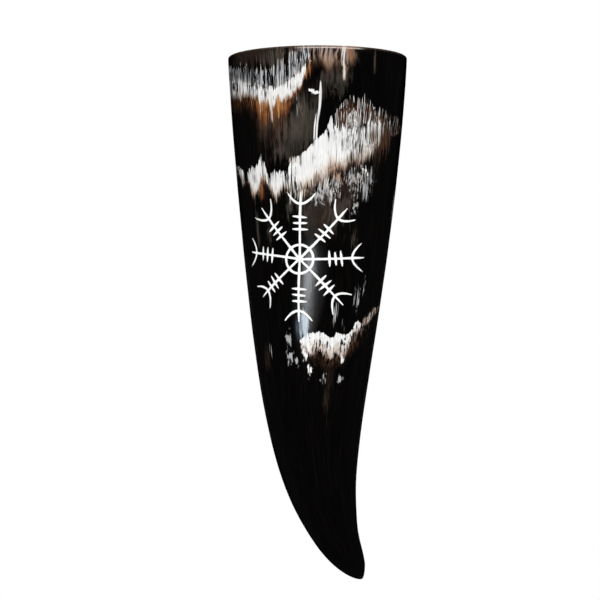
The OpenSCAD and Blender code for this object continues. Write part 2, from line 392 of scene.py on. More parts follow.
def buildCoat():
    edge = coat["edgeShare"]
    wallRows, wallFoot, freeRows, freeFoot = coat["rows"]
    turns = np.radians(np.arange(0, 360, coat["step"]))
    lip, foot, depth = horn["lip"], horn["footRound"], horn["hollowDepth"]
    depthIn = depth - coat["pool"]
    outside = np.linspace(lip, depth - foot, wallRows)
    outside = np.concatenate([outside, footRows(depth, wallFoot)])[::-1]
    inside = lip + (depthIn - foot - lip) * np.linspace(0, 1, freeRows) ** coat["rowCrowd"]
    inside = np.concatenate([inside, footRows(depthIn, freeFoot)])
    thin = coat["thickness"] * (edge + (1 - edge) * np.clip((inside - lip) / coat["feather"], 0, 1))
    rowAlong = np.concatenate([outside, inside])
    insideHalf = hollowHalf(inside, depthIn)
    rowHalf = np.concatenate([hollowHalf(outside, depth), insideHalf - thin * (insideHalf > 0.002)])
    along, turn = np.meshgrid(rowAlong, turns, indexing="ij")
    half = np.repeat(rowHalf[:, None], len(turns), 1)
    ripple = np.sin(4 * turn + 60 * along + 1.5 * np.sin(2 * turn)) * np.sin(7 * turn + 35 * along)
    ripple = 0.5 + 0.5 * ripple
    ripple *= (np.arange(len(rowAlong)) >= len(outside))[:, None]
    ripple *= np.clip((along - coat["feather"]) / coat["rippleFade"], 0, 1)
    points = hornPlace(along, turn, half + coat["ripple"] * ripple)
    poles = [hornPlace(np.array([s]), np.zeros(1), np.zeros(1))[0] for s in (depth, depthIn)]
    points = np.concatenate([points.reshape(-1, 3), poles])
    grain = np.concatenate([grainOf(along, turn).reshape(-1, 3), [[0, 0, depth / mm], [0, 0, depthIn / mm]]])
    rows, cols = along.shape
    rowV = np.concatenate([np.linspace(0.01, 0.2, len(outside)), np.linspace(0.98, 0.24, len(inside))])
    colU = np.linspace(0.005, 0.995, cols + 1)
    faces, uvs = [], []
    for i in range(rows - 1):
        for j in range(cols):
            k = (j + 1) % cols
            faces.append([i * cols + j, i * cols + k, (i + 1) * cols + k, (i + 1) * cols + j])
            uvs += [(colU[b], rowV[a]) for a, b in ((i, j), (i, j + 1), (i + 1, j + 1), (i + 1, j))]
    first, last = rows * cols, rows * cols + 1
    for j in range(cols):
        k, middle = (j + 1) % cols, (colU[j] + colU[j + 1]) / 2
        faces.append([first, k, j])
        uvs += [(middle, 0.004), (colU[j + 1], rowV[0]), (colU[j], rowV[0])]
        faces.append([last, (rows - 1) * cols + j, (rows - 1) * cols + k])
        uvs += [(middle, 0.225), (colU[j], rowV[-1]), (colU[j + 1], rowV[-1])]
    return makePiece("sealingCoat", points, faces, uvs, grain)


def addNode(tree, kind, **settings):
    node = tree.nodes.new("ShaderNode" + kind)
    for name, value in settings.items():
        setattr(node, name, value)
    return node


def plug(source, target):
    if isinstance(source, bpy.types.NodeSocket):
        target.id_data.links.new(source, target)
    else:
        target.default_value = source


def addBeside(values, kind, **settings):  # a new node in the tree that these values come from
    tree = next(value.id_data for value in values if isinstance(value, bpy.types.NodeSocket))
    return addNode(tree, kind, **settings)


def plugAll(node, *sources):  # in the order of the node's inputs
    for socket, source in zip(node.inputs, sources):
        plug(source, socket)
    return node.outputs[0]


def calc(operation, *values):
    return plugAll(addBeside(values, "Math", operation=operation), *values)


def plus(a, b):
    return calc("ADD", a, b)


def minus(a, b):
    return calc("SUBTRACT", a, b)


def times(a, b):
    return calc("MULTIPLY", a, b)


def calcVector(operation, a, b):
    return plugAll(addBeside((a, b), "VectorMath", operation=operation), a, b)


def remap(value, low, high, toLow=0.0, toHigh=1.0, smooth=False):
    kind = "SMOOTHSTEP" if smooth else "LINEAR"
    node = addBeside([value], "MapRange", interpolation_type=kind, clamp=False)
    result = plugAll(node, value, low, high, toLow, toHigh)
    if smooth:
        return result
    held = addBeside([value], "Clamp", clamp_type="RANGE")  # its own clamp takes up too much room
    return plugAll(held, result, toLow, toHigh)


def mixColour(factor, a, b, blend="MIX"):
    node = addBeside((factor, a, b), "Mix", data_type="RGBA", blend_type=blend)
    for k, source in ((0, factor), (6, a), (7, b)):
        plug(source, node.inputs[k])
    return node.outputs[2]


def noiseOf(place, scale, detail=2.0, rough=0.5):
    node = addBeside([place], "TexNoise")
    for name, value in (("Vector", place), ("Scale", scale), ("Detail", detail), ("Roughness", rough)):
        plug(value, node.inputs[name])
    return node.outputs


def curveOf(value, spots):
    node = addBeside([value], "FloatCurve")
    curve = node.mapping.curves[0]
    curve.points[0].location, curve.points[1].location = spots[0], spots[-1]
    for spot in spots[1:-1]:
        curve.points.new(*spot)
    node.mapping.update()
    plug(value, node.inputs["Value"])
    return node.outputs[0]


def edgeCurve(turn01, pairs, low, high):  # a value that changes with the turn, such as a band's edge
    spots = [((turn + 180) / 360, (value - low) / (high - low)) for turn, value in pairs]
    return remap(curveOf(turn01, spots), 0.0, 1.0, low, high)


def gritMask(cover, grit, soft, start):  # the fibres that this much cover reaches
    mask = remap(cover, minus(grit, soft), plus(grit, soft), smooth=True)
    return times(mask, remap(cover, 0.0, start))


def newGroup(name, inputs, outputs):
    tree = bpy.data.node_groups.new(name, "ShaderNodeTree")
    for socketName, kind, value in inputs:
        socket = tree.interface.new_socket(socketName, in_out="INPUT", socket_type="NodeSocket" + kind)
        if value is not None:
            socket.default_value = value
    for socketName in outputs:
        tree.interface.new_socket(socketName, in_out="OUTPUT", socket_type="NodeSocketFloat")
    given, result = tree.nodes.new("NodeGroupInput"), tree.nodes.new("NodeGroupOutput")
    return tree, given.outputs, result.inputs


def placeGroup(group, **values):
    node = addBeside(values.values(), "Group", node_tree=group)
    for name, value in values.items():
        plug(value, node.inputs[name])
    return node.outputs


grainLook = {  # how the fibres lean to and fro, and how sharply they stand out
    "swayScale": 0.1, "sway": (1.7, 1.7, 0.0), "roughness": 0.55, "contrast": (0.3, 0.7),
}


def makeFibres():  # streaks that run along the horn, 0 to 1
    inputs = [("Place", "Vector", None), ("Width", "Float", 0.5), ("Stretch", "Float", 14.0)]
    tree, given, result = newGroup("hornFibres", inputs, ["Streak"])
    fine = calc("DIVIDE", 1.0, given["Width"])
    slow = calc("DIVIDE", fine, given["Stretch"])
    scale = plugAll(addNode(tree, "CombineXYZ"), fine, fine, slow)
    sway = noiseOf(given["Place"], grainLook["swayScale"], 1.0)["Color"]
    sway = calcVector("SUBTRACT", sway, (0.5, 0.5, 0.5))
    sway = calcVector("MULTIPLY", sway, grainLook["sway"])
    swayed = calcVector("ADD", given["Place"], sway)
    stretched = calcVector("MULTIPLY", swayed, scale)
    streak = noiseOf(stretched, 1.0, 3.0, grainLook["roughness"])[0]
    plug(remap(streak, *grainLook["contrast"]), result["Streak"])
    return tree


polishLook = {  # hairlines of a hand polish, as stretch, scale and share, and the scale of its smears
    "lines": [((0.9, 0.9, 0.05), 6.0, 0.7), ((0.12, 0.12, 1.3), 4.0, 0.3)], "smear": 0.12,
}


def makePolish():  # a roughness change and a height
    inputs = [("Place", "Vector", None), ("Amount", "Float", 1.0)]
    tree, given, result = newGroup("polishMarks", inputs, ["Roughness", "Height"])
    heights = []
    for stretch, scale, share in polishLook["lines"]:
        lines = noiseOf(calcVector("MULTIPLY", given["Place"], stretch), scale)[0]
        heights.append(times(remap(lines, 0.35, 0.65), share))
    smear = noiseOf(given["Place"], polishLook["smear"])[0]
    marks = plus(*heights)
    rough = times(plus(times(marks, 0.5), smear), given["Amount"])
    plug(rough, result["Roughness"])
    plug(times(marks, given["Amount"]), result["Height"])
    return tree


def makeFleck():  # a ragged patch on the horn, from the way to its middle and its half sizes
    names = ["Turn", "Along", "Half turn", "Half along", "Grit", "Strength", "Soft"]
    tree, given, result = newGroup("hornFleck", [(name, "Float", 0.0) for name in names], ["Mask"])
    across = calc("DIVIDE", given["Turn"], given["Half turn"])
    down = calc("DIVIDE", given["Along"], given["Half along"])
    far = calc("SQRT", plus(times(across, across), times(down, down)))
    cover = times(remap(far, 0.1, 1.2, 1.0, 0.0, smooth=True), given["Strength"])
    plug(gritMask(cover, given["Grit"], given["Soft"], 0.12), result["Mask"])
    return tree


def newMaterial(name):
    material = bpy.data.materials.new(name)
    material.use_nodes = True
    shader = next(n for n in material.node_tree.nodes if n.type == "BSDF_PRINCIPLED")
    place = addNode(material.node_tree, "Attribute", attribute_name="grain").outputs["Vector"]
    return material, shader, place


def splitPlace(place):
    parts = addBeside([place], "SeparateXYZ")
    plug(place, parts.inputs[0])
    return parts.outputs


def addBump(shader, height, strength, distance):
    bump = addBeside([height], "Bump")
    for name, value in (("Strength", strength), ("Distance", distance), ("Height", height)):
        plug(value, bump.inputs[name])
    plug(bump.outputs[0], shader.inputs["Normal"])
    return bump.outputs[0]


# edges of the bands: turn, upper edge, lower edge, how closely the fibres stand, how ragged the upper edge is
smokeEdges = [
    (-180, 40, 40.5, 0.5, 1), (-27, 40, 40.5, 0.5, 1), (-22, 26, 46, 0.7, 1), (-20, 21, 48, 1, 1),
    (-14, 18, 48, 1, 1), (-9, 14, 46, 1, 1), (-4, 12, 42, 1, 1), (0, 12, 38, 1, 1), (1, 11.6, 24, 0.9, 1),
    (5, 7, 18, 0.8, 1), (13, 5, 22, 0.8, 1), (18, 4.4, 18.3, 0.6, 1), (23, 2, 11.7, 0.4, 1),
    (28, 5, 5.5, 0.4, 1),
]
rimEdges = [
    (-180, 0, 0.5, 0.5, 1), (-30, 0, 0.5, 0.5, 1), (-20, -2, 7, 0.5, 1), (-14, -3, 9, 0.65, 1),
    (-9, -3, 13, 0.75, 1), (-3, -3, 11, 0.65, 1), (3, -3, 11, 0.9, 1), (5.5, -3, 13, 1.2, 1),
    (7.5, -3, 13, 1.15, 1), (9.5, -3, 12, 0.85, 1), (13, -3, 11, 0.75, 1), (15.5, -3, 12, 0.95, 1),
    (17, -3, 17, 1.15, 1), (19, -3, 12, 0.95, 1), (22, -3, 9, 0.68, 1), (24, -3, 8, 0.45, 1),
    (26, -3, 6, 0.22, 1), (28, 0, 0.5, 0.2, 1),
]
strandEdges = [
    (-180, 6, 6.5, 0.5, 2), (-125, 4, 9, 0.5, 2), (-100, 4, 12, 0.55, 3), (-77, 5.2, 12, 0.6, 2.5),
    (-63, 6.4, 13, 0.62, 2.5), (-53, 6.8, 14.5, 0.6, 2.5), (-45, 8.2, 15.5, 0.55, 2.5),
    (-40, 8.5, 17.5, 0.72, 2.5), (-36, 9.3, 18, 0.7, 2.5), (-31, 8.7, 18.5, 0.7, 2.5),
    (-27, 7.2, 18.5, 0.78, 2.5), (-25, 6, 18, 0.78, 2.5), (-19, 3.6, 16, 0.8, 2.5), (-14, 1.6, 13.5, 0.85, 3),
    (-10, 0.6, 11.5, 0.88, 3), (-8, 0, 9, 0.88, 3), (-6, 1.4, 6, 0.7, 2), (-3, 1, 1.5, 0.5, 1),
]
amberEdges = [
    (-180, 14, 14.5, 0.5, 2), (-125, 16, 22, 0.6, 2), (-100, 18, 25, 0.6, 2), (-86, 17.6, 23, 0.28, 2),
    (-66, 17.5, 25, 0.3, 2), (-55, 17.5, 25.5, 0.34, 2), (-46, 18, 27.5, 0.45, 2), (-42, 18, 34, 0.85, 2),
    (-41, 18, 35.5, 1.05, 2), (-37, 18, 35.5, 1.1, 2), (-33, 19, 32.5, 0.95, 2), (-31, 19, 33, 0.95, 2),
    (-28, 19, 33.5, 1.05, 2), (-25, 18.5, 33, 1.1, 2), (-22, 17.5, 31, 0.95, 2), (-19, 17, 28.5, 0.9, 2),
    (-17, 15.5, 24, 0.9, 1), (-14, 14.5, 21.5, 0.9, 1), (-11, 12.5, 19, 0.9, 1), (-9, 10, 16.5, 0.9, 1),
    (-6, 6.8, 14, 0.8, 1), (-4, 5.2, 10, 0.5, 1), (-1, 5, 5.5, 0.4, 1), (118, 12, 12.5, 0.5, 2),
    (140, 16, 24, 0.8, 2), (165, 13, 18, 0.6, 2),
]
upperEdges = [
    (-180, 12, 13, 0.8, 2), (-160, 8, 17, 0.8, 2), (-140, 9, 16, 0.9, 2), (-120, 6, 18, 0.8, 2),
    (-100, 9, 20, 0.8, 2), (-83, 10.1, 19.5, 0.58, 2.5), (-65, 11.8, 20.5, 0.63, 2.5),
    (-54, 13, 20.5, 0.63, 2.5), (-50, 14.4, 20, 0.57, 2), (-45, 13.8, 21, 0.75, 2), (-42, 15.4, 21, 0.7, 2),
    (-40.5, 14.9, 24, 1.15, 2), (-38, 16.4, 22.4, 0.9, 2), (-36, 17, 22.4, 0.88, 2), (-33, 16.8, 23.4, 1, 2),
    (-31.5, 15, 28.5, 1.3, 1), (-30, 16.8, 24, 1.25, 2), (-28, 17, 23.6, 1.25, 1), (-25, 16.3, 23, 1.3, 1),
    (-21, 14.2, 22.1, 1.3, 1), (-19, 13.6, 21.1, 1.3, 0.8), (-17, 12.7, 19.8, 1.3, 0.6),
    (-14, 11.5, 18.4, 1.25, 0.6), (-11, 10.1, 16.6, 1.25, 0.6), (-9, 8.1, 13.8, 1.2, 0.6),
    (-8, 6.9, 11.6, 1.05, 0.6), (-7, 6, 7.8, 0.6, 0.6), (-5, 4, 4.5, 0.5, 0.6), (100, 2, 2.5, 0.5, 1),
    (118, 5, 14, 0.8, 2), (140, 4, 20, 0.9, 2), (160, 9, 15, 0.8, 2),
]
furEdges = [
    (-180, 20, 20.5, 0.3, 1), (6, 30, 30.5, 0.3, 1), (9, 29.2, 33.5, 0.3, 2), (11, 26.5, 34, 0.7, 2),
    (14, 24.3, 34, 1, 3), (18, 21.8, 34, 1, 3), (23, 20.3, 34, 1, 3), (27, 21.2, 33, 1, 3),
    (32, 19.5, 31, 1, 4), (36, 22, 32, 1, 3), (40, 24.7, 33, 0.9, 2), (49, 24.6, 34, 0.9, 2),
    (54, 25.9, 35, 0.52, 2), (68, 26.5, 34, 0.2, 2), (81, 27.1, 31, 0.1, 1), (95, 28, 28.5, 0.3, 1),
]
brownEdges = [
    (-180, 58, 68, 0.8, 2), (-160, 57, 66, 0.7, 2), (-135, 50, 60, 0.8, 2), (-118, 53, 64, 0.9, 2),
    (-100, 52, 60, 0.8, 2), (-75, 50, 56, 0.5, 1), (-55, 54, 61.6, 0.7, 1), (-46, 53, 63.4, 1, 1),
    (-42, 52, 64, 1.1, 1), (-38, 53, 63, 0.8, 1), (-31, 56, 63, 0.8, 1), (-26, 53, 61, 0.7, 1),
    (-19, 52, 61, 0.7, 1), (-13, 54, 63, 0.8, 1), (-7, 54, 63, 0.9, 1), (-4, 53, 62, 1, 1), (2, 51, 60, 1, 1),
    (6, 50, 58.5, 1, 1), (10, 49, 57, 1, 1), (15, 47, 55, 1, 1), (19, 46, 54.5, 1, 1), (24, 45, 54, 1, 1),
    (29, 44.5, 53, 0.9, 1), (35, 42, 52, 0.9, 1), (40, 37, 50, 1, 1), (47, 31, 52, 0.85, 1),
    (54, 30, 48.5, 0.55, 1), (66, 29, 40, 0.22, 1), (85, 33, 42, 0.5, 2), (100, 40, 53, 0.8, 2),
    (118, 50, 60, 0.8, 2), (140, 48, 54, 0.6, 2), (165, 56, 66, 0.8, 2),
]
wideEdges = [
    (-180, 50, 62, 0.9, 2), (-165, 53, 61, 0.9, 2), (-150, 51, 54, 0.7, 2), (-135, 47, 54, 0.8, 2),
    (-118, 43, 57, 0.9, 2), (-100, 48, 55, 0.8, 2), (-85, 47, 50, 0.5, 1), (-78, 47.5, 49.5, 0.5, 1),
    (-70, 47.6, 52, 0.75, 1), (-66, 49, 55.5, 0.85, 1), (-61, 50.4, 52.4, 0.4, 1), (-58, 50.4, 53.6, 0.5, 1),
    (-54, 48.2, 60, 1.05, 1.5), (-49, 48, 61.6, 1.1, 1.5), (-45, 47, 58, 1.1, 1.5), (-41, 43.8, 55, 0.8, 3),
    (-38, 49.4, 56, 0.9, 1), (-36, 52, 56.5, 0.7, 1), (-33, 50.7, 60, 1, 1.5), (-31, 50.3, 61.5, 1.1, 1.5),
    (-27, 50.3, 61.4, 1.05, 1.5), (-25, 50.6, 58.5, 0.9, 1), (-23, 50.4, 58.5, 0.88, 1),
    (-20, 49.6, 59, 0.9, 1), (-19, 45.6, 58.5, 0.8, 0.5), (-17, 45.3, 59.5, 0.9, 0.5),
    (-14, 44.3, 60, 1, 0.5), (-11, 43.5, 60, 1.1, 0.5), (-8, 42.1, 59.5, 1.2, 0.5),
    (-5, 40.3, 58.5, 1.25, 0.5), (-4, 38.9, 58, 1.25, 0.5), (-1, 37, 56.8, 1.25, 0.5),
    (2, 36.1, 56, 1.25, 0.5), (5, 33.5, 55, 1.25, 0.6), (7, 30.3, 54.2, 1.2, 0.6),
    (8.5, 27.3, 53.6, 1.2, 0.6), (10, 30.8, 53, 1.2, 0.6), (13, 32.9, 51.8, 1.15, 1.5),
    (16, 33.1, 50.5, 1.12, 2), (20, 32.7, 49.2, 1.1, 2), (24, 32.5, 48.5, 1.05, 2),
    (28, 31.5, 48.2, 0.98, 2.5), (32, 30.3, 47.8, 0.94, 2.5), (37, 29.8, 46, 0.86, 2.5),
    (41, 30.2, 43, 0.74, 2.5), (48, 29.8, 38, 0.6, 2.5), (53, 30, 35.5, 0.4, 2.5), (60, 29.6, 33.8, 0.22, 2),
    (68, 28, 31, 0.12, 2), (85, 31, 34, 0.4, 2), (100, 33, 45, 0.85, 2), (118, 40, 53, 0.95, 2),
    (135, 45, 50, 0.7, 2), (150, 50, 53, 0.6, 2), (165, 46, 59, 0.9, 2),
]
underEdges = [
    (-180, 125, 133, 0.8, 1), (-160, 134, 143, 0.8, 1), (-135, 133, 140, 0.7, 1), (-105, 129, 135, 0.6, 1),
    (-80, 129, 129.5, 0.5, 1), (-16, 123, 123.5, 0.5, 1), (-11, 121, 128, 0.6, 1), (-4, 122, 131, 0.7, 1),
    (4, 121, 130, 1, 1), (11, 122, 133, 1, 1), (16, 123, 133, 1, 1), (22, 122, 132, 0.9, 1),
    (28, 122, 131, 0.9, 1), (35, 118, 129, 0.8, 1), (41, 115, 125, 0.9, 1), (50, 113, 122.5, 0.4, 1),
    (61, 109, 118, 0.22, 1), (76, 107, 112, 0.12, 1), (105, 106, 112, 0.6, 1), (130, 114, 124, 0.8, 1),
    (150, 121, 128, 0.8, 1),
]
lowerEdges = [
    (-180, 121, 128, 0.9, 1), (-160, 126, 138, 0.9, 1), (-140, 128, 135, 0.8, 1), (-120, 126, 130, 0.6, 1),
    (-100, 125, 131, 0.8, 1), (-85, 127, 129, 0.5, 1), (-70, 124, 124.5, 0.5, 1), (-17, 120, 120.5, 0.5, 0.4),
    (-14, 119, 121, 0.7, 0.4), (-11, 117.8, 124.6, 0.9, 0.4), (-9, 116.6, 125, 1.1, 0.4),
    (-6, 115.8, 125.5, 1.1, 0.4), (-2, 115.8, 126, 1.15, 0.4), (1, 115.5, 124.5, 1.2, 0.4),
    (5, 115.1, 125, 1.2, 0.4), (8, 115.8, 126, 1.15, 0.4), (10, 116.4, 126, 1.1, 0.4),
    (13, 117.2, 128, 1.1, 0.4), (16, 117.6, 128, 1.1, 0.4), (18, 117.4, 127.5, 1.05, 0.4),
    (19, 115.7, 126, 1.15, 0.4), (23, 115.8, 126, 1.1, 0.4), (26, 116.1, 127.5, 1, 0.4),
    (29, 116.2, 127.5, 0.95, 0.4), (32, 115.8, 125, 0.95, 0.4), (34, 115.1, 122.5, 0.9, 0.4),
    (36, 114, 119.5, 0.95, 0.4), (38, 111.8, 117.5, 1.05, 0.4), (42, 110.8, 116.4, 1.1, 0.4),
    (44, 111.5, 115.5, 1, 0.4), (47, 112, 115.2, 0.66, 0.6), (50, 110.9, 114.2, 0.58, 0.8),
    (55, 108.5, 112.6, 0.52, 0.8), (60, 106.6, 111, 0.46, 0.8), (66, 105.4, 109.1, 0.4, 0.8),
    (73, 105.2, 107.7, 0.32, 0.8), (88, 104, 106.5, 0.5, 1), (105, 104, 107.5, 0.7, 1),
    (125, 109, 118, 0.9, 1), (145, 113, 123, 0.95, 1), (165, 119, 123, 0.7, 1),
]
backEdges = [
    (-180, 74, 90, 0.9, 2), (-165, 79, 90, 0.8, 2), (-150, 76, 95, 1, 2), (-135, 84, 94, 0.9, 2),
    (-118, 90, 93, 0.7, 2), (-104, 91, 91.5, 0.5, 2), (0, 90, 90.5, 0.5, 2), (95, 74, 74.5, 0.5, 2),
    (110, 72, 76, 0.7, 2), (125, 66, 82, 0.9, 2), (140, 64, 88, 1, 2), (155, 70, 83, 0.8, 2),
    (170, 71, 92, 1, 2),
]
